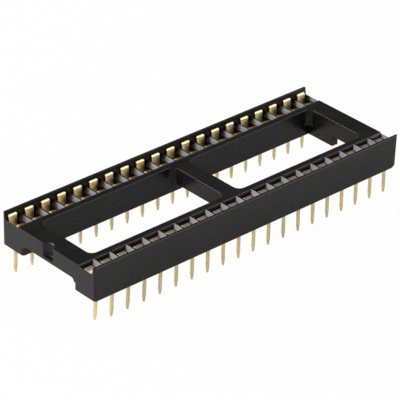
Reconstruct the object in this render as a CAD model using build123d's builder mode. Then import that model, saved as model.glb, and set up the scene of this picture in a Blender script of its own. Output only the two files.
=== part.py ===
from build123d import *
import os

# Dual-in-line socket: two rows of formed contacts in an open ladder-shaped moulding.
# Millimetres. X runs along the rows, Y across them, Z up. The tail tips stand on z = 0
# and the middle of the tail grid is the origin. Pin 1 is at the front left, by the notch.

# Contact grid
contacts_per_row = 20
pitch = 2.54
row_spacing = 15.24

# Moulding, overall: how far it reaches beyond the tails, then its edges
end_reach = 1.07
side_reach = 1.1
end_draft = 0.15
corner_radius = 0.3
rail_end_radius = 0.42
end_round = 0.9
wall_top_radius = 0.14
rim_chamfer = 0.05

# Heights, each measured from the one before
tail_standout = 3.43
foot_height = 0.5
deck_rise = 3.74
wall_rise = 0.83

# Rails
rail_width = 3.92
wall_top_thickness = 0.35
wall_root_thickness = 0.5

# Standing feet, one under each end of each rail
foot_length = 1.2
foot_width = 0.9
foot_end_setback = 0.52
foot_side_setback = 1.64

# Bars across the ends, the rib across the middle and the skirts below the end bars
end_bar_width = 2.65
rib_width = 2.3
bar_depth = 2.3
window_radius = 0.9
underside_radius = 0.45
skirt_thickness = 1.0
skirt_offset = 0.35

# Index notch in the left end bar
notch_radius = 1.0
notch_depth = 0.7
notch_floor = 0.42
notch_floor_radius = 0.3
notch_chamfer = 0.12

# Contact cells
cell_width = 1.42
cell_floor = 0.7
partition_land = 0.2
funnel_depth = 0.52
funnel_run = 0.3
inner_land = 0.88
leaf_pocket_wall = 0.4
flap_shelf_drop = 0.95

# Contact, formed from one strip
strip_thickness = 0.22
leaf_width = 1.28
leaf_tip_corner = 0.08
leaf_tip_bevel = 0.17
leaf_tip_drop = 0.48
leaf_lean = 0.12
leaf_knee_height = 1.9
leaf_apex_height = 1.15
leaf_root_height = 0.6
flap_width = 1.2
flap_tip_drop = 0.55
flap_fall = 0.15
throat_setback = 0.8
inner_apex_height = 1.65
inner_root_setback = 0.6
arm_window_height = 0.8
tail_width = 0.46
tail_tip_width = 0.14
tail_tip_length = 0.85
tail_tip_bevel = 0.06
lead_gap = 0.16

# Clearances
clearance = 0.05
spring_clearance = 0.12
flap_clearance = 0.15

# Slack allowed when edges are picked by their position
match_tolerance = 1e-4

# Levels and faces that follow from the sizes above
seat_z = tail_standout
underside_z = seat_z + foot_height
deck_z = underside_z + deck_rise
wall_top_z = deck_z + wall_rise
bar_underside_z = deck_z - bar_depth
cell_floor_z = underside_z + cell_floor
funnel_root_z = deck_z - funnel_depth
row_y = row_spacing / 2
last_x = pitch * (contacts_per_row - 1) / 2
half_length = last_x + end_reach
half_width = row_y + side_reach
rail_inner_y = half_width - rail_width
bar_inner_x = half_length - end_bar_width

# Distances out from a contact's own tail axis, towards the outer wall of its row
wall_face_out = half_width - wall_root_thickness - row_y
pocket_out = half_width - leaf_pocket_wall - row_y
funnel_top_out = rail_inner_y + inner_land - row_y
funnel_root_out = funnel_top_out + funnel_run
half_strip = strip_thickness / 2
leaf_tip_out = pocket_out - clearance - half_strip
leaf_knee_out = leaf_tip_out - leaf_lean
spring_face_out = lead_gap / 2 + half_strip
cell_inner_out = -inner_root_setback - half_strip - spring_clearance

# Turned half round about its own tail, the back row's shape becomes the front row's
contact_places = [
    Location((-last_x + pitch * index, -row_y, 0), (0, 0, 180)) for index in range(contacts_per_row)
] + [
    Location((last_x - pitch * index, row_y, 0)) for index in range(contacts_per_row)
]


# Cell: the space cut for one contact of the back row, about its own tail
with BuildPart() as cell:
    # Tail slot through the floor
    with BuildSketch(Plane.XY.offset(underside_z)):
        Rectangle(tail_width + 2 * clearance, strip_thickness + 2 * clearance)
    extrude(amount=cell_floor)

    # Spring pocket, from the floor to the open top
    with BuildSketch(Plane.XY.offset(cell_floor_z)):
        with Locations((0, (cell_inner_out + pocket_out) / 2)):
            Rectangle(cell_width, pocket_out - cell_inner_out)
    extrude(amount=wall_top_z - cell_floor_z)

    # Shelf below the flap of the inner leaf
    with BuildSketch(Plane.XY.offset(deck_z - flap_shelf_drop)):
        with Locations((0, funnel_root_out / 2)):
            Rectangle(cell_width, -funnel_root_out)
    extrude(amount=flap_shelf_drop)

    # Funnel, from the pocket's mouth up to the deck
    with BuildSketch(Plane.XY.offset(funnel_root_z)):
        with Locations((0, (funnel_root_out + wall_face_out) / 2)):
            Rectangle(cell_width, wall_face_out - funnel_root_out)
    with BuildSketch(Plane.XY.offset(deck_z)):
        with Locations((0, (funnel_top_out + wall_face_out) / 2)):
            Rectangle(pitch - partition_land, wall_face_out - funnel_top_out)
    loft()


# Housing, one moulding
with BuildPart() as housing:
    # Rail section, drawn once and mirrored: deep rail, tall thin outer wall, inner land
    with BuildSketch(Plane.YZ):
        with BuildLine():
            Polyline(
                (rail_inner_y, underside_z),
                (half_width, underside_z),
                (half_width, wall_top_z),
                (half_width - wall_top_thickness, wall_top_z),
                (half_width - wall_root_thickness, deck_z),
                (rail_inner_y, deck_z),
                close=True,
            )
        rail_face = make_face()
        wall_top_corner = rail_face.vertices().group_by(Axis.Y)[-1].sort_by(Axis.X)[-1]
        fillet(wall_top_corner, radius=wall_top_radius)
        mirror(about=Plane.YZ)
    extrude(amount=half_length, both=True)

    # Rounded inner corners of the rail ends, seen below the bars
    inner_corners = housing.edges().filter_by(Axis.Z).filter_by(
        lambda edge: abs(edge.center().Y) < rail_inner_y + match_tolerance
    )
    fillet(inner_corners, radius=rail_end_radius)

    # Ladder plan: end bars and middle rib round two windows
    window_length = bar_inner_x - rib_width / 2
    window_x = (bar_inner_x + rib_width / 2) / 2
    with BuildSketch(Plane.XY.offset(bar_underside_z)):
        Rectangle(2 * half_length, 2 * rail_inner_y + rail_width)
        with Locations((-window_x, 0), (window_x, 0)):
            RectangleRounded(window_length, 2 * rail_inner_y, window_radius, mode=Mode.SUBTRACT)
    extrude(amount=bar_depth)

    # Rounds where the underside of each bar runs into the rails
    for bar_start, bar_length in (
        (-half_length, end_bar_width),
        (-rib_width / 2, rib_width),
        (bar_inner_x, end_bar_width),
    ):
        with BuildSketch(Plane.YZ.offset(bar_start)):
            corner_width = underside_radius + rail_end_radius
            corner_y = rail_inner_y + rail_end_radius - corner_width / 2
            with Locations((-corner_y, bar_underside_z - underside_radius / 2),
                           (corner_y, bar_underside_z - underside_radius / 2)):
                Rectangle(corner_width, underside_radius)
            centre_y = rail_inner_y - underside_radius
            with Locations((-centre_y, bar_underside_z - underside_radius),
                           (centre_y, bar_underside_z - underside_radius)):
                Circle(underside_radius, mode=Mode.SUBTRACT)
        extrude(amount=bar_length)

    # Skirt below the inner half of each end bar, from the back rail
    skirt_length = rail_inner_y - skirt_offset
    skirt_x = bar_inner_x + skirt_thickness / 2
    with BuildSketch(Plane.XY.offset(underside_z)):
        with Locations((-skirt_x, skirt_offset + skirt_length / 2), (skirt_x, skirt_offset + skirt_length / 2)):
            Rectangle(skirt_thickness, skirt_length)
    extrude(amount=bar_underside_z - underside_z)

    # Side silhouette: the left end upright and square, the right end drafted and rounded below
    with BuildSketch(Plane.XZ):
        with BuildLine():
            Polyline(
                (-half_length, wall_top_z),
                (half_length, wall_top_z),
                (half_length - end_draft, underside_z),
                (-half_length, underside_z),
                close=True,
            )
        silhouette = make_face()
        lower_right_corner = silhouette.vertices().group_by(Axis.Y)[0].sort_by(Axis.X)[-1]
        fillet(lower_right_corner, radius=end_round)
    extrude(amount=half_width, both=True, mode=Mode.INTERSECT)

    # Plan outline, lofted from the underside up so that the upright corners follow the draft
    with BuildSketch(Plane.XY.offset(underside_z)):
        with Locations((-end_draft / 2, 0)):
            RectangleRounded(2 * half_length - end_draft, 2 * half_width, corner_radius)
    with BuildSketch(Plane.XY.offset(wall_top_z)):
        RectangleRounded(2 * half_length, 2 * half_width, corner_radius)
    loft(mode=Mode.INTERSECT)

    # Standing feet
    foot_x = half_length - foot_end_setback - foot_length / 2
    foot_y = half_width - foot_side_setback - foot_width / 2
    with BuildSketch(Plane.XY.offset(seat_z)):
        with GridLocations(2 * foot_x, 2 * foot_y, 2, 2):
            Rectangle(foot_length, foot_width)
    extrude(amount=foot_height + cell_floor)

    # Broken edges round the two windows
    window_rims = [
        edge for edge in housing.edges()
        if abs(edge.bounding_box().min.Z - deck_z) < match_tolerance
        and abs(edge.bounding_box().max.Z - deck_z) < match_tolerance
        and abs(edge.center().Y) < rail_inner_y + match_tolerance
        and abs(edge.center().X) < bar_inner_x + match_tolerance
    ]
    chamfer(window_rims, length=rim_chamfer)

    # Index notch, a shallow half-round well with a rounded floor
    notch_x = -(half_length - notch_depth + notch_radius)
    notch_z = bar_underside_z + notch_floor
    with BuildSketch(Plane.XY.offset(notch_z)):
        with Locations((notch_x, 0)):
            Circle(notch_radius)
    extrude(amount=deck_z - notch_z, mode=Mode.SUBTRACT)
    notch_arcs = housing.edges().filter_by(GeomType.CIRCLE).filter_by(
        lambda edge: abs(edge.radius - notch_radius) < match_tolerance
    ).sort_by(Axis.Z)
    fillet(notch_arcs[0], radius=notch_floor_radius)
    notch_mouth = housing.edges().filter_by(GeomType.CIRCLE).filter_by(
        lambda edge: abs(edge.radius - notch_radius) < match_tolerance
    ).sort_by(Axis.Z)[-1]
    chamfer(notch_mouth, length=notch_chamfer)

    # Contact cells
    with Locations(*contact_places):
        add(cell.part, mode=Mode.SUBTRACT)

housing.part.label = "housing"


# Outer leaf of a contact: from the bevelled tip down the spring to the base
base_z = cell_floor_z + half_strip
leaf_tip_z = wall_top_z - leaf_tip_drop
with BuildPart() as outer_leaf:
    with BuildSketch(Plane.YZ):
        with BuildLine():
            Polyline(
                (leaf_tip_out, leaf_tip_z),
                (leaf_knee_out, base_z + leaf_knee_height),
                (spring_face_out, base_z + leaf_apex_height),
                (leaf_knee_out, base_z + leaf_root_height),
                (leaf_knee_out, base_z),
                (half_strip, base_z),
            )
        trace(line_width=strip_thickness)
    extrude(amount=leaf_width / 2, both=True)

    # Bevel that guides a lead over the tip
    tip_edge = outer_leaf.edges().filter_by(Axis.X).group_by(Axis.Z)[-1].sort_by(Axis.Y)[0]
    chamfer(tip_edge, length=leaf_tip_bevel)

    # Front outline, with the corners of the tip clipped
    clip_reach = leaf_tip_corner + strip_thickness
    with BuildSketch(Plane.XZ):
        with BuildLine():
            Polyline(
                (-leaf_width / 2, cell_floor_z),
                (leaf_width / 2, cell_floor_z),
                (leaf_width / 2, leaf_tip_z - leaf_tip_corner),
                (leaf_width / 2 - clip_reach, leaf_tip_z + strip_thickness),
                (clip_reach - leaf_width / 2, leaf_tip_z + strip_thickness),
                (-leaf_width / 2, leaf_tip_z - leaf_tip_corner),
                close=True,
            )
        make_face()
    extrude(amount=row_y, both=True, mode=Mode.INTERSECT)

# Tail: a tongue bent down out of the base and pointed at the end
with BuildPart() as tail:
    with BuildSketch(Plane.YZ):
        with BuildLine():
            Polyline(
                (leaf_knee_out - half_strip, base_z),
                (0, base_z),
                (0, 0),
            )
        trace(line_width=strip_thickness)
    extrude(amount=tail_width / 2, both=True)

    # Front outline, drawn to a blunt point
    with BuildSketch(Plane.XZ):
        with BuildLine():
            Polyline(
                (tail_tip_width / 2, 0),
                (tail_width / 2, tail_tip_length),
                (tail_width / 2, base_z + strip_thickness),
                (-tail_width / 2, base_z + strip_thickness),
                (-tail_width / 2, tail_tip_length),
                (-tail_tip_width / 2, 0),
                close=True,
            )
        make_face()
    extrude(amount=row_y, both=True, mode=Mode.INTERSECT)
    tip_face = tail.faces().sort_by(Axis.Z)[0]
    chamfer(tip_face.edges().filter_by(Axis.X), length=tail_tip_bevel)

# Inner leaf: two arms from the base, closing above into a spring and a lead-in flap
with BuildPart() as inner_leaf:
    with BuildSketch(Plane.YZ):
        with BuildLine():
            Polyline(
                (leaf_knee_out - half_strip, base_z),
                (-inner_root_setback, base_z),
                (-inner_root_setback, base_z + leaf_root_height),
                (-spring_face_out, base_z + inner_apex_height),
                (-throat_setback, deck_z - flap_tip_drop - flap_fall),
                (funnel_root_out + flap_clearance, deck_z - flap_tip_drop),
            )
        trace(line_width=strip_thickness)
    extrude(amount=flap_width / 2, both=True)

    # Window that the tail was lanced from
    with BuildSketch(Plane.XY.offset(cell_floor_z)):
        with Locations((0, -(inner_root_setback + half_strip) / 2)):
            Rectangle(tail_width + 2 * clearance, inner_root_setback + half_strip)
    extrude(amount=arm_window_height, mode=Mode.SUBTRACT)

# Contacts, each one piece: both leaves and the tail
with BuildPart() as contact:
    add(outer_leaf.part)
    add(inner_leaf.part)
    add(tail.part)

os.makedirs("parts", exist_ok=True)
export_step(housing.part, "parts/housing.step")

for pin, place in enumerate(contact_places, start=1):
    with BuildPart() as placed_contact:
        with Locations(place):
            add(contact.part)
    placed_contact.part.label = f"contact_{pin:02d}"
    export_step(placed_contact.part, f"parts/contact_{pin:02d}.step")
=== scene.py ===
"""A forty-way dual-in-line socket: black ladder-shaped moulding, two rows of gold-plated contacts."""

import math

import bmesh
import bpy
import numpy as np
from mathutils import Matrix, Vector


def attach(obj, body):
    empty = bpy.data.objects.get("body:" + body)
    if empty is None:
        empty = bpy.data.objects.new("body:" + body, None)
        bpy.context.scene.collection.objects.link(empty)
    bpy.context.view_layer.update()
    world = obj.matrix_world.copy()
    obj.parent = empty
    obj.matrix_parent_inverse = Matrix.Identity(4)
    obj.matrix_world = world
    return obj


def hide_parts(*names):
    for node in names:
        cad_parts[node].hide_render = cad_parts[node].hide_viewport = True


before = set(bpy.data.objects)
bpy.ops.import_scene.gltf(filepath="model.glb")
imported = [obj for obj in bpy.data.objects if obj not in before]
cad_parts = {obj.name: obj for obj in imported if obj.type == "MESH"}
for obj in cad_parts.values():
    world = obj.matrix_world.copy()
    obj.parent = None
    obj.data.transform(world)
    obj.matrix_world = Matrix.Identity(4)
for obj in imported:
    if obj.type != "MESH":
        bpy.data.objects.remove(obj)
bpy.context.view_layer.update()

MM = 0.001
CONTACTS = sorted(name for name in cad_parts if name.startswith("contact_"))
BODY = "root"

# Camera, as the photograph was taken: angles in degrees, lengths in millimetres, picture in pixels
PICTURE_WIDTH = 400
VIEW_AZIMUTH = -42.371
VIEW_ELEVATION = 30.274
VIEW_ROLL = 1.140
VIEW_DISTANCE = 331.24
VIEW_TARGET = (4.655, 6.073, 0.0)
FOCAL_PIXELS = 2577.28
SENSOR_WIDTH = 36.0

# Contact grid and levels of the moulding, in millimetres
PITCH = 2.54
ROW_Y = 7.62
PER_ROW = 20
UNDERSIDE_Z = 3.93
CELL_HALF_LENGTH = 1.0
SHELF_Z = 7.3
WALL_ZONE_Y = 8.05
WALL_ZONE_END_Y = 8.5
WALL_ZONE_Z = 8.4

# Contact strip: mid-line points as (out from the tail's axis, height), in millimetres
LEAF_AND_FLAP = (
    (0.54, 8.02), (0.42, 6.64), (0.19, 5.89), (0.42, 5.34), (0.42, 4.74),
    (0.15, 4.74), (-0.6, 4.74), (-0.6, 5.34), (-0.56, 5.443), (-0.19, 6.39), (-0.8, 6.97), (-1.49, 7.12),
)
TONGUE_ROOT = LEAF_AND_FLAP[5]
WINDOW_END = LEAF_AND_FLAP[8]
SPRING_Z = 5.89
THICKNESS = 0.22
LEAF_HALF_WIDTH = 0.64
FLAP_HALF_WIDTH = 0.6
TIP_BEVEL = 0.17
TIP_CORNER = 0.08
BEND_RADIUS = 0.2
BEND_STEPS = 5
TAIL_HALF_WIDTH = 0.23
WINDOW_HALF_WIDTH = 0.28
TAIL_TIP_HALF_WIDTH = 0.07
TAIL_TIP_LENGTH = 0.85
TAIL_TIP_BEVEL = 0.06
TAIL_BEND_RADIUS = 0.13
STRIP_EDGE = 0.022
STRIP_EDGE_ANGLE = 40
SIDE_PLACE = 0.75
WINDOW_COLUMNS = (2, 5)
TAIL_COLUMNS = slice(3, 6)
STRAIGHT_TURN = 0.02

# How the tails stand off their grid, along the row, at these places on it
FRONT_SWAY_X = (-24, -14, -8, 24)
FRONT_SWAY = (-0.2, -0.18, -0.03, 0.08)
BACK_SWAY_X = (-24, -14, 24)
BACK_SWAY = (-0.12, 0.04, 0.08)
FIRST_TAIL_SHORTENING = 0.6
SWAY_POWER = 1.3
TAIL_SCATTER = 0.03
LEAF_SCATTER = 0.02

# Moulding: points nearer than MERGE_DISTANCE are one, faces within FLAT_ANGLE are one, and convex edges past
# BROKEN_ANGLE are broken; millimetres and degrees
MERGE_DISTANCE = 0.002
FLAT_ANGLE = 0.5
BROKEN_ANGLE = 30
SHARP_ANGLE = 35
MOULDING_EDGE = 0.03
SHORTEST_EDGE = 3 * MOULDING_EDGE
LEVEL_TOLERANCE = 0.01
SLOT_REACH = 0.5

# Reach of the worn edges with their painted highlight, and of the painted shade in tight corners, in the
# materials, in metres
MOULDING_WEAR_AND_HIGHLIGHT_RADIUS = 0.00007
PLATING_WEAR_AND_HIGHLIGHT_RADIUS = 0.00004
PAINTED_SHADE_REACH = 0.0009

# Colours and roughness of the moulding
PLASTIC_DARK = (0.0047, 0.0044, 0.0042)
PLASTIC_LIGHT = (0.0094, 0.0088, 0.0082)
# Edge colour: wear, and a painted highlight along the edges
PLASTIC_WORN_AND_HIGHLIT = (0.055, 0.053, 0.05)
PLASTIC_DUST = (0.11, 0.1, 0.085)
PLASTIC_ROUGHNESS = (0.22, 0.32)
# Specular level in shut corners and in the open: the low end paints shade into recesses
PLASTIC_GLOSS_WITH_PAINTED_SHADE = (0.02, 0.35)

# Colours and roughness of the plating
GOLD_DEEP = (0.87, 0.68, 0.33)
GOLD_PALE = (0.96, 0.82, 0.47)
GOLD_LINE = (0.66, 0.50, 0.25)
# Pale edges: wear, and a painted highlight along them
GOLD_WORN_AND_HIGHLIT = (0.98, 0.93, 0.74)
GOLD_DUST = (0.62, 0.56, 0.45)
GOLD_ROUGHNESS = (0.3, 0.44)

# Floor: its size in metres, its paint, and how much of plain white a look and a mirror see
FLOOR_SIZE = 6.0
FLOOR_PAINT = 0.86
FLOOR_WHITE_SEEN = 0.97
FLOOR_WHITE_MIRRORED = 0.22

# World: light on matt faces, then what mirrors see, as (height of the direction, strength)
WORLD_LIGHT = 0.3
HORIZON = (0.02, 1.0)
DARK_BAND = (0.35, 0.12)
CEILING_EDGE = (0.55, 0.0)
CEILING = (0.8, 0.6)

# Pale front wall that the leaves mirror: its direction, then (closeness to that direction, strength)
FRONT_WALL = (0.45, -0.78, 0.43)
FRONT_WALL_EDGE = (0.5, 0.0)
FRONT_WALL_MIDDLE = (0.85, 2.0)

# Soft boxes: colour, then name, azimuth and elevation in degrees, distance and size in metres, power in watts
LAMP_COLOUR = (1.0, 0.985, 0.965)
SOFT_BOXES = (
    ("back_left_box", -139, 32, 0.55, 0.25, 2.4),
    ("left_box", -100, 30, 0.6, 0.4, 1.5),
    ("front_box", 36, 22, 0.6, 0.4, 1.0),
)


def direction(azimuth, elevation):
    """Unit vector from the object towards a place seen at this azimuth (0 is the -Y side) and elevation."""
    a = math.radians(azimuth)
    e = math.radians(elevation)
    return Vector((math.sin(a) * math.cos(e), -math.cos(a) * math.cos(e), math.sin(e)))


def make_camera():
    data = bpy.data.cameras.new("camera")
    data.sensor_fit = "HORIZONTAL"
    data.sensor_width = SENSOR_WIDTH
    data.lens = FOCAL_PIXELS / PICTURE_WIDTH * SENSOR_WIDTH
    data.clip_start = 0.01
    data.clip_end = 10.0
    camera = bpy.data.objects.new("camera", data)
    bpy.context.scene.collection.objects.link(camera)
    back = direction(VIEW_AZIMUTH, VIEW_ELEVATION)
    right = (-back).cross(Vector((0, 0, 1))).normalized()
    up = right.cross(-back)
    roll = math.radians(VIEW_ROLL)
    right_rolled = right * math.cos(roll) + up * math.sin(roll)
    up_rolled = up * math.cos(roll) - right * math.sin(roll)
    place = Vector(VIEW_TARGET) * MM + back * VIEW_DISTANCE * MM
    turn = Matrix((right_rolled, up_rolled, back)).transposed()
    camera.matrix_world = Matrix.Translation(place) @ turn.to_4x4()
    bpy.context.scene.camera = camera


def nodes_of(material):
    """The material's node tree, emptied, with its output node."""
    material.use_nodes = True
    tree = material.node_tree
    tree.nodes.clear()
    output = tree.nodes.new("ShaderNodeOutputMaterial")
    return tree, output


def link(tree, start, end):
    tree.links.new(start, end)


def math_node(tree, operation, first, second=None, clamp=False):
    """Math node on sockets or numbers; its result socket."""
    node = tree.nodes.new("ShaderNodeMath")
    node.operation = operation
    node.use_clamp = clamp
    for socket, value in zip(node.inputs, (first, second)):
        if isinstance(value, (int, float)):
            socket.default_value = value
        elif value is not None:
            link(tree, value, socket)
    return node.outputs[0]


def remap(tree, value, low, high, new_low, new_high):
    """Value taken from one range to another, held at its ends; its result socket."""
    node = tree.nodes.new("ShaderNodeMapRange")
    node.inputs["From Min"].default_value = low
    node.inputs["From Max"].default_value = high
    node.inputs["To Min"].default_value = new_low
    node.inputs["To Max"].default_value = new_high
    link(tree, value, node.inputs["Value"])
    return node.outputs["Result"]


def between(tree, value, start, end):
    """Value on the straight line from one (place, result) to another, held at its ends; its result socket."""
    return remap(tree, value, start[0], end[0], start[1], end[1])


def noise(tree, place, scale, detail=2.0, roughness=0.5):
    """Noise on a coordinate, with scale in cycles per metre; its value socket."""
    node = tree.nodes.new("ShaderNodeTexNoise")
    node.inputs["Scale"].default_value = scale
    node.inputs["Detail"].default_value = detail
    node.inputs["Roughness"].default_value = roughness
    link(tree, place, node.inputs["Vector"])
    return node.outputs["Fac"]


def stretched(tree, place, scale):
    """Object coordinates scaled apart along the three axes."""
    node = tree.nodes.new("ShaderNodeMapping")
    node.inputs["Scale"].default_value = scale
    link(tree, place, node.inputs["Vector"])
    return node.outputs["Vector"]


def blend_colours(tree, factor, first, second):
    """Mix of two colours, each a tuple or a socket; its colour socket."""
    node = tree.nodes.new("ShaderNodeMix")
    node.data_type = "RGBA"
    link(tree, factor, node.inputs["Factor"])
    for socket, value in ((node.inputs[6], first), (node.inputs[7], second)):
        if isinstance(value, tuple):
            socket.default_value = (*value, 1)
        else:
            link(tree, value, socket)
    return node.outputs[2]


def new_group(name, outputs):
    """Shader node group on Object coordinates, with the outputs named and typed here."""
    group = bpy.data.node_groups.new(name, "ShaderNodeTree")
    for title, kind in outputs:
        group.interface.new_socket(title, in_out="OUTPUT", socket_type=kind)
    end = group.nodes.new("NodeGroupOutput")
    place = group.nodes.new("ShaderNodeTexCoord").outputs["Object"]
    return group, place, end


def edge_mask(tree, radius):
    """Mask of edges: 1 minus the dot product of the normal and the normal rounded over this radius."""
    bevel = tree.nodes.new("ShaderNodeBevel")
    bevel.samples = 4
    bevel.inputs["Radius"].default_value = radius
    geometry = tree.nodes.new("ShaderNodeNewGeometry")
    dot = tree.nodes.new("ShaderNodeVectorMath")
    dot.operation = "DOT_PRODUCT"
    link(tree, bevel.outputs["Normal"], dot.inputs[0])
    link(tree, geometry.outputs["Normal"], dot.inputs[1])
    return math_node(tree, "SUBTRACT", 1.0, dot.outputs["Value"], clamp=True)


def open_sky(tree, distance):
    """Share of the half-space over a point that is clear within this distance."""
    node = tree.nodes.new("ShaderNodeAmbientOcclusion")
    node.samples = 8
    node.inputs["Distance"].default_value = distance
    return node.outputs["AO"]


def moulding_group():
    """Moulded plastic: cloudy mottle, grain, worn edges with a painted highlight, dust specks, and painted
    shade in tight corners.
    """
    group, place, end = new_group("moulding_texture", (
        ("Mottle", "NodeSocketFloat"), ("Height", "NodeSocketFloat"),
        ("Wear_and_highlight", "NodeSocketFloat"), ("Dust", "NodeSocketFloat"), ("Gloss_with_painted_shade", "NodeSocketFloat"),
    ))
    cloud = noise(group, place, 420, 4.0, 0.6)
    streak = noise(group, stretched(group, place, (160, 900, 1500)), 1.0, 3.0, 0.55)
    mixed = math_node(group, "ADD", math_node(group, "MULTIPLY", cloud, 0.6),
                      math_node(group, "MULTIPLY", streak, 0.4))
    link(group, remap(group, mixed, 0.36, 0.64, 0.0, 1.0), end.inputs["Mottle"])
    grain = noise(group, place, 9000, 3.0, 0.65)
    ripple = noise(group, place, 1500, 1.0, 0.4)
    height = math_node(group, "ADD", math_node(group, "MULTIPLY", grain, 0.7),
                       math_node(group, "MULTIPLY", ripple, 0.6))
    link(group, height, end.inputs["Height"])
    # Edges lightened in broken runs: wear, and a painted highlight along them
    rough_edge = noise(group, place, 3200, 3.0, 0.7)
    wear_and_highlight_amount = remap(group, rough_edge, 0.35, 0.7, 0.2, 3.2)
    edge = math_node(group, "MULTIPLY", edge_mask(group, MOULDING_WEAR_AND_HIGHLIGHT_RADIUS), wear_and_highlight_amount)
    link(group, math_node(group, "MINIMUM", edge, 1.0), end.inputs["Wear_and_highlight"])
    speck = remap(group, noise(group, place, 5200, 2.0, 0.5), 0.66, 0.76, 0.0, 1.0)
    patch = remap(group, noise(group, place, 300, 2.0, 0.5), 0.42, 0.62, 0.0, 1.0)
    link(group, math_node(group, "MULTIPLY", speck, patch), end.inputs["Dust"])
    # Painted shade: gloss falls where little open sky is near, so corners and recesses render dark
    link(group, remap(group, open_sky(group, PAINTED_SHADE_REACH), 0.5, 0.95, *PLASTIC_GLOSS_WITH_PAINTED_SHADE), end.inputs["Gloss_with_painted_shade"])
    return group


def plating_group():
    """Rolled and plated strip: tone patches, drawing lines, grain, worn edges with a painted highlight, dust
    on what faces up.
    """
    group, place, end = new_group("plating_texture", (
        ("Tone", "NodeSocketFloat"), ("Lines", "NodeSocketFloat"),
        ("Height", "NodeSocketFloat"), ("Wear_and_highlight", "NodeSocketFloat"), ("Dust", "NodeSocketFloat"),
    ))
    link(group, remap(group, noise(group, place, 700, 3.0, 0.6), 0.35, 0.65, 0.0, 1.0), end.inputs["Tone"])
    lines = noise(group, stretched(group, place, (26000, 26000, 900)), 1.0, 2.0, 0.6)
    link(group, remap(group, lines, 0.3, 0.7, 0.0, 1.0), end.inputs["Lines"])
    pits = noise(group, place, 14000, 2.0, 0.6)
    height = math_node(group, "ADD", math_node(group, "MULTIPLY", lines, 0.6),
                       math_node(group, "MULTIPLY", pits, 0.5))
    link(group, height, end.inputs["Height"])
    # Edges made pale: wear and painted highlight
    edge = math_node(group, "MULTIPLY", edge_mask(group, PLATING_WEAR_AND_HIGHLIGHT_RADIUS), 3.0)
    link(group, math_node(group, "MINIMUM", edge, 1.0), end.inputs["Wear_and_highlight"])
    upward = group.nodes.new("ShaderNodeSeparateXYZ")
    link(group, group.nodes.new("ShaderNodeNewGeometry").outputs["Normal"], upward.inputs[0])
    settled = remap(group, upward.outputs["Z"], 0.5, 0.85, 0.0, 1.0)
    patchy = remap(group, noise(group, place, 1800, 3.0, 0.6), 0.3, 0.7, 0.55, 1.0)
    link(group, math_node(group, "MULTIPLY", settled, patchy), end.inputs["Dust"])
    return group


def use_group(tree, group):
    node = tree.nodes.new("ShaderNodeGroup")
    node.node_tree = group
    return node.outputs


def bumped(tree, height, strength, distance):
    node = tree.nodes.new("ShaderNodeBump")
    node.inputs["Strength"].default_value = strength
    node.inputs["Distance"].default_value = distance
    link(tree, height, node.inputs["Height"])
    return node.outputs["Normal"]


def plastic_material(texture):
    """Black glass-filled plastic with a satin skin."""
    material = bpy.data.materials.new("black_moulding")
    tree, output = nodes_of(material)
    shader = tree.nodes.new("ShaderNodeBsdfPrincipled")
    maps = use_group(tree, texture)
    body = blend_colours(tree, maps["Mottle"], PLASTIC_DARK, PLASTIC_LIGHT)
    # Edges lightened: wear and painted highlight
    worn = blend_colours(tree, math_node(tree, "MULTIPLY", maps["Wear_and_highlight"], 0.35), body, PLASTIC_WORN_AND_HIGHLIT)
    dusty = blend_colours(tree, math_node(tree, "MULTIPLY", maps["Dust"], 0.5), worn, PLASTIC_DUST)
    link(tree, dusty, shader.inputs["Base Color"])
    link(tree, remap(tree, maps["Mottle"], 0.0, 1.0, *PLASTIC_ROUGHNESS), shader.inputs["Roughness"])
    # Painted shade: specular level lowered in tight corners and recesses
    link(tree, maps["Gloss_with_painted_shade"], shader.inputs["Specular IOR Level"])
    link(tree, bumped(tree, maps["Height"], 0.25, 0.00002), shader.inputs["Normal"])
    link(tree, shader.outputs[0], output.inputs["Surface"])
    return material


def gold_material(texture):
    """Thin gold over rolled bronze strip, paler along its edges from wear and a painted highlight."""
    material = bpy.data.materials.new("gold_plating")
    tree, output = nodes_of(material)
    shader = tree.nodes.new("ShaderNodeBsdfPrincipled")
    maps = use_group(tree, texture)
    tone = blend_colours(tree, maps["Tone"], GOLD_DEEP, GOLD_PALE)
    lined = blend_colours(tree, math_node(tree, "MULTIPLY", maps["Lines"], 0.3), tone, GOLD_LINE)
    # Pale edges: wear and painted highlight
    worn = blend_colours(tree, math_node(tree, "MULTIPLY", maps["Wear_and_highlight"], 0.75), lined, GOLD_WORN_AND_HIGHLIT)
    dusty = blend_colours(tree, math_node(tree, "MULTIPLY", maps["Dust"], 0.7), worn, GOLD_DUST)
    link(tree, dusty, shader.inputs["Base Color"])
    shader.inputs["Metallic"].default_value = 1.0
    link(tree, remap(tree, maps["Lines"], 0.0, 1.0, *GOLD_ROUGHNESS), shader.inputs["Roughness"])
    link(tree, bumped(tree, maps["Height"], 0.2, 0.00001), shader.inputs["Normal"])
    link(tree, shader.outputs[0], output.inputs["Surface"])
    return material


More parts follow.
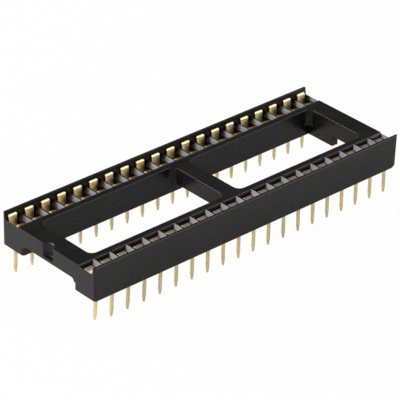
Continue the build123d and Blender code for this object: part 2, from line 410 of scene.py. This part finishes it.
def make_floor():
    bpy.ops.mesh.primitive_plane_add(size=FLOOR_SIZE, location=(0, 0, 0))
    floor = bpy.context.object
    floor.name = "floor"
    material = bpy.data.materials.new("pale_floor")
    tree, output = nodes_of(material)
    paint = tree.nodes.new("ShaderNodeBsdfDiffuse")
    paint.inputs["Color"].default_value = (FLOOR_PAINT, FLOOR_PAINT, FLOOR_PAINT, 1)
    glow = tree.nodes.new("ShaderNodeEmission")
    glow.inputs["Color"].default_value = (1, 1, 1, 1)
    path = tree.nodes.new("ShaderNodeLightPath")
    direct = math_node(tree, "MULTIPLY", path.outputs["Is Camera Ray"], FLOOR_WHITE_SEEN)
    mirrored = math_node(tree, "MULTIPLY", path.outputs["Is Glossy Ray"], FLOOR_WHITE_MIRRORED)
    part = math_node(tree, "MAXIMUM", direct, mirrored)
    mix = tree.nodes.new("ShaderNodeMixShader")
    link(tree, part, mix.inputs["Fac"])
    link(tree, paint.outputs[0], mix.inputs[1])
    link(tree, glow.outputs[0], mix.inputs[2])
    link(tree, mix.outputs[0], output.inputs["Surface"])
    floor.data.materials.append(material)


def make_world():
    """Even studio light; mirrors see a pale horizon, a dark band, a grey ceiling and a front wall."""
    world = bpy.data.worlds.new("studio")
    bpy.context.scene.world = world
    world.use_nodes = True
    tree = world.node_tree
    tree.nodes.clear()
    output = tree.nodes.new("ShaderNodeOutputWorld")
    light = tree.nodes.new("ShaderNodeBackground")
    light.inputs["Color"].default_value = (WORLD_LIGHT, WORLD_LIGHT, WORLD_LIGHT, 1)
    shown = tree.nodes.new("ShaderNodeBackground")
    shown.inputs["Color"].default_value = (1, 1, 1, 1)
    mirrored = tree.nodes.new("ShaderNodeBackground")
    place = tree.nodes.new("ShaderNodeTexCoord").outputs["Generated"]
    height = tree.nodes.new("ShaderNodeSeparateXYZ")
    link(tree, place, height.inputs[0])
    sweep = between(tree, height.outputs["Z"], HORIZON, DARK_BAND)
    ceiling = math_node(tree, "MAXIMUM", sweep, between(tree, height.outputs["Z"], CEILING_EDGE, CEILING))
    facing = tree.nodes.new("ShaderNodeVectorMath")
    facing.operation = "DOT_PRODUCT"
    facing.inputs[1].default_value = FRONT_WALL
    link(tree, place, facing.inputs[0])
    wall = between(tree, facing.outputs["Value"], FRONT_WALL_EDGE, FRONT_WALL_MIDDLE)
    link(tree, math_node(tree, "MAXIMUM", ceiling, wall), mirrored.inputs["Strength"])
    path = tree.nodes.new("ShaderNodeLightPath")
    first = tree.nodes.new("ShaderNodeMixShader")
    link(tree, path.outputs["Is Glossy Ray"], first.inputs["Fac"])
    link(tree, light.outputs[0], first.inputs[1])
    link(tree, mirrored.outputs[0], first.inputs[2])
    second = tree.nodes.new("ShaderNodeMixShader")
    link(tree, path.outputs["Is Camera Ray"], second.inputs["Fac"])
    link(tree, first.outputs[0], second.inputs[1])
    link(tree, shown.outputs[0], second.inputs[2])
    link(tree, second.outputs[0], output.inputs["Surface"])


def soft_light(name, azimuth, elevation, distance, size, power):
    """A square soft box that looks at the object from this side."""
    data = bpy.data.lights.new(name, "AREA")
    data.shape = "SQUARE"
    data.size = size
    data.energy = power
    data.color = LAMP_COLOUR
    lamp = bpy.data.objects.new(name, data)
    bpy.context.scene.collection.objects.link(lamp)
    back = direction(azimuth, elevation)
    lamp.rotation_mode = "QUATERNION"
    lamp.location = back * distance
    lamp.rotation_quaternion = back.to_track_quat("Z", "Y")
    lamp.visible_camera = False
    return lamp


def bent(points, radius, steps):
    """Mid-line with round bends: each corner P becomes the arc that touches both its runs.

    With unit runs a (in) and b (out) and turn angle t, the arc starts r tan(t/2) before P. At angle f it is
    start + r sin(f) a + r (1 - cos(f)) m, where m is b less its part along a, made unit.
    """
    points = np.asarray(points, float)
    line = [points[0]]
    for before, corner, after in zip(points[:-2], points[1:-1], points[2:]):
        a = (corner - before) / np.linalg.norm(corner - before)
        b = (after - corner) / np.linalg.norm(after - corner)
        turn = math.acos(float(np.clip(a @ b, -1, 1)))
        if turn < STRAIGHT_TURN:
            line.append(corner)
            continue
        m = b - (a @ b) * a
        m = m / np.linalg.norm(m)
        reach = radius * math.tan(turn / 2)
        f = np.linspace(0, turn, steps)[:, None]
        line.extend(corner - a * reach + radius * np.sin(f) * a + radius * (1 - np.cos(f)) * m)
    line.append(points[-1])
    return np.array(line)


def normals_of(line):
    """Unit normals of a polyline in its plane, each turned a quarter left of the mean run at its point."""
    runs = np.gradient(line, axis=0)
    runs = runs / np.linalg.norm(runs, axis=1)[:, None]
    return np.stack([-runs[:, 1], runs[:, 0]], axis=1)


def thickened(middle, normal, lower, upper, faces):
    """Closed shell on a sheet: P-(i) = M(i) - lower(i) N(i) and P+(i) = M(i) + upper(i) N(i).

    Faces are repeated on both sides, turned over on the lower one, and each free edge gets one wall.
    """
    count = len(middle)
    points = np.concatenate([middle + normal * upper[:, None], middle - normal * lower[:, None]])
    starts = faces.reshape(-1)
    ends = np.roll(faces, -1, axis=1).reshape(-1)
    key = np.minimum(starts, ends) * count + np.maximum(starts, ends)
    _, inverse, uses = np.unique(key, return_inverse=True, return_counts=True)
    free = uses[inverse] == 1
    starts, ends = starts[free], ends[free]
    walls = np.stack([ends, starts, starts + count, ends + count], axis=1)
    return points, np.concatenate([faces, faces[:, ::-1] + count, walls])


def grid_faces(index):
    """Quads between neighbouring rows and columns of an array of point numbers."""
    return np.stack([index[:-1, :-1], index[:-1, 1:], index[1:, 1:], index[1:, :-1]], axis=-1).reshape(-1, 4)


def contact_shell(sway, shortening, lean):
    """One contact of the back row, about its own tail, as a closed shell in millimetres.

    The sheet is S(i, u) = (w(i, u), P(i)), with P the bent mid-line of leaf, base and flap and w the places
    across it. The tail is a second sheet T(k, u), which starts on the base row where it was lanced free.
    Below the moulding it is moved along the row by sway (1 - z / h)^1.3 and raised by shortening (1 - z / h),
    with h the moulding's underside. The leaf's tip is moved out by lean ((z - a) / (b - a))^2 from the spring
    a to its tip b.
    """
    line = bent(LEAF_AND_FLAP, BEND_RADIUS, BEND_STEPS)
    tip = line[0]
    down = (line[1] - tip) / np.linalg.norm(line[1] - tip)
    line = np.concatenate([[tip, tip + down * TIP_CORNER, tip + down * TIP_BEVEL], line[1:]])
    half = np.where(line[:, 0] < -TAIL_HALF_WIDTH, FLAP_HALF_WIDTH, LEAF_HALF_WIDTH)[:, None]
    ones = np.ones_like(half)
    widths = np.concatenate([
        -half, -SIDE_PLACE * half, -WINDOW_HALF_WIDTH * ones, -TAIL_HALF_WIDTH * ones, 0 * ones,
        TAIL_HALF_WIDTH * ones, WINDOW_HALF_WIDTH * ones, SIDE_PLACE * half, half,
    ], axis=1)
    widths[0] = np.clip(widths[0], TIP_CORNER - LEAF_HALF_WIDTH, LEAF_HALF_WIDTH - TIP_CORNER)
    rows, columns = widths.shape
    inside = np.full((rows, columns), THICKNESS / 2)
    inside[0] -= TIP_BEVEL
    inside[1] -= TIP_BEVEL - TIP_CORNER
    index = np.arange(rows * columns).reshape(rows, columns)
    faces = grid_faces(index)
    start = int(np.argmin(np.hypot(line[:, 0] - TONGUE_ROOT[0], line[:, 1] - TONGUE_ROOT[1])))
    stop = int(np.argmin(np.hypot(line[:, 0] - WINDOW_END[0], line[:, 1] - WINDOW_END[1])))
    row_of, column_of = np.divmod(faces[:, 0], columns)
    across = (column_of >= WINDOW_COLUMNS[0]) & (column_of <= WINDOW_COLUMNS[1])
    lanced = (row_of >= start) & (row_of < stop) & across
    faces = faces[~lanced]

    tail_points = (
        TONGUE_ROOT, (0.0, TONGUE_ROOT[1]), (0.0, TAIL_TIP_LENGTH), (0.0, TAIL_TIP_BEVEL), (0.0, 0.0),
    )
    tail = bent(tail_points, TAIL_BEND_RADIUS, BEND_STEPS)
    tail_half = np.interp(tail[:, 1], (0, TAIL_TIP_LENGTH), (TAIL_TIP_HALF_WIDTH, TAIL_HALF_WIDTH))
    tail_widths = tail_half[:, None] * np.array([-1.0, 0.0, 1.0])[None, :]
    tail_inside = np.full(tail_widths.shape, THICKNESS / 2)
    tail_inside[-1] -= TAIL_TIP_BEVEL
    tail_index = np.concatenate([
        index[start:start + 1, TAIL_COLUMNS],
        index.size + np.arange(3 * (len(tail) - 1)).reshape(-1, 3),
    ])
    faces = np.concatenate([faces, grid_faces(tail_index)])

    middle = np.concatenate([sheet_points(widths, line), sheet_points(tail_widths[1:], tail[1:])])
    normal = np.concatenate([
        sheet_points(0 * widths, normals_of(line)), sheet_points(0 * tail_widths[1:], normals_of(tail)[1:]),
    ])
    outside = np.full(len(middle), THICKNESS / 2)
    outside[-3:] -= TAIL_TIP_BEVEL
    lower = np.concatenate([inside.reshape(-1), tail_inside[1:].reshape(-1)])
    points, faces = thickened(middle, normal, lower, outside, faces)

    depth = np.clip(1 - points[:, 2] / UNDERSIDE_Z, 0, 1)
    points[:, 0] += sway * depth ** SWAY_POWER
    points[:, 2] += shortening * depth
    rise = np.clip((points[:, 2] - SPRING_Z) / (LEAF_AND_FLAP[0][1] - SPRING_Z), 0, None)
    points[:, 1] += np.where(points[:, 1] > 0, lean * rise ** 2, 0)
    return points, faces


def sheet_points(widths, line):
    """Points (w, out, z) of a sheet with places across it w(i, u) and mid-line (out, z)(i)."""
    spread = np.broadcast_to(line[:, None, :], (*widths.shape, 2))
    return np.concatenate([widths[..., None], spread], axis=2).reshape(-1, 3)


def mesh_object(name, points, faces, material):
    """Mesh object at the origin from points in millimetres and quads."""
    mesh = bpy.data.meshes.new(name)
    mesh.vertices.add(len(points))
    mesh.vertices.foreach_set("co", (points * MM).astype(np.float32).reshape(-1))
    mesh.loops.add(faces.size)
    mesh.loops.foreach_set("vertex_index", faces.astype(np.int32).reshape(-1))
    mesh.polygons.add(len(faces))
    mesh.polygons.foreach_set("loop_start", np.arange(0, faces.size, 4, dtype=np.int32))
    mesh.update(calc_edges=True)
    mesh.validate()
    mesh.materials.append(material)
    obj = bpy.data.objects.new(name, mesh)
    bpy.context.scene.collection.objects.link(obj)
    return obj


def keep_flat(obj):
    """Smooth shading that keeps large flat faces flat, with normals weighted by the faces' areas."""
    obj.data.polygons.foreach_set("use_smooth", np.ones(len(obj.data.polygons), dtype=bool))
    weighted = obj.modifiers.new("flat_faces", "WEIGHTED_NORMAL")
    weighted.keep_sharp = True


def make_contact(node, material):
    """Contact in place of its CAD node: the front row is the back row's shape turned half round.

    The numbers run round the socket, so the front row counts towards +X and the back row towards -X.
    """
    number = int(node[-2:])
    front = number <= PER_ROW
    turn = -1 if front else 1
    place = -turn * PITCH * ((number - 1) % PER_ROW - (PER_ROW - 1) / 2)
    chance = np.random.default_rng(number)
    sway = np.interp(place, FRONT_SWAY_X if front else BACK_SWAY_X, FRONT_SWAY if front else BACK_SWAY)
    shortening = FIRST_TAIL_SHORTENING if number == 1 else 0.0
    points, faces = contact_shell(
        turn * (sway + chance.uniform(-TAIL_SCATTER, TAIL_SCATTER)), shortening,
        chance.uniform(-LEAF_SCATTER, LEAF_SCATTER),
    )
    points = points * np.array([turn, turn, 1]) + np.array([place, turn * ROW_Y, 0])
    obj = mesh_object(f"strip_{number:02d}", points, faces, material)
    bevel = obj.modifiers.new("edges", "BEVEL")
    bevel.width = STRIP_EDGE * MM
    bevel.segments = 2
    bevel.limit_method = "ANGLE"
    bevel.angle_limit = math.radians(STRIP_EDGE_ANGLE)
    bevel.use_clamp_overlap = False
    keep_flat(obj)
    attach(obj, BODY)
    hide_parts(node)


def make_housing(material):
    """Moulding: the CAD surface merged into whole faces, with the edges that show broken as a mould does."""
    shape = bmesh.new()
    shape.from_mesh(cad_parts["housing"].data)
    bmesh.ops.remove_doubles(shape, verts=shape.verts, dist=MERGE_DISTANCE * MM)
    flat = math.radians(FLAT_ANGLE)
    bmesh.ops.dissolve_limit(shape, angle_limit=flat, verts=shape.verts, edges=shape.edges)
    worn = []
    for edge in shape.edges:
        if len(edge.link_faces) != 2 or edge.calc_length() < SHORTEST_EDGE * MM:
            continue
        if edge.calc_face_angle_signed() < math.radians(BROKEN_ANGLE):
            continue
        middle = (edge.verts[0].co + edge.verts[1].co) / (2 * MM)
        in_cell = abs(abs(middle.y) - ROW_Y) < CELL_HALF_LENGTH and middle.z < SHELF_Z
        in_wall = WALL_ZONE_Y < abs(middle.y) < WALL_ZONE_END_Y and middle.z < WALL_ZONE_Z
        at_slot = abs(middle.z - UNDERSIDE_Z) < LEVEL_TOLERANCE and abs(abs(middle.y) - ROW_Y) < SLOT_REACH
        if not (in_cell or in_wall or at_slot):
            worn.append(edge)
    bmesh.ops.bevel(
        shape, geom=worn, offset=MOULDING_EDGE * MM, offset_type="OFFSET", segments=2, profile=0.5,
        affect="EDGES", clamp_overlap=False,
    )
    for edge in shape.edges:
        edge.smooth = edge.calc_face_angle(0) < math.radians(SHARP_ANGLE)
    mesh = bpy.data.meshes.new("moulding")
    shape.to_mesh(mesh)
    shape.free()
    mesh.materials.append(material)
    obj = bpy.data.objects.new("moulding", mesh)
    bpy.context.scene.collection.objects.link(obj)
    keep_flat(obj)
    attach(obj, BODY)
    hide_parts("housing")


make_camera()
make_floor()
make_world()
for box in SOFT_BOXES:
    soft_light(*box)

plastic = plastic_material(moulding_group())
gold = gold_material(plating_group())
make_housing(plastic)
for name in CONTACTS:
    make_contact(name, gold)

bpy.context.scene.view_settings.view_transform = "Standard"
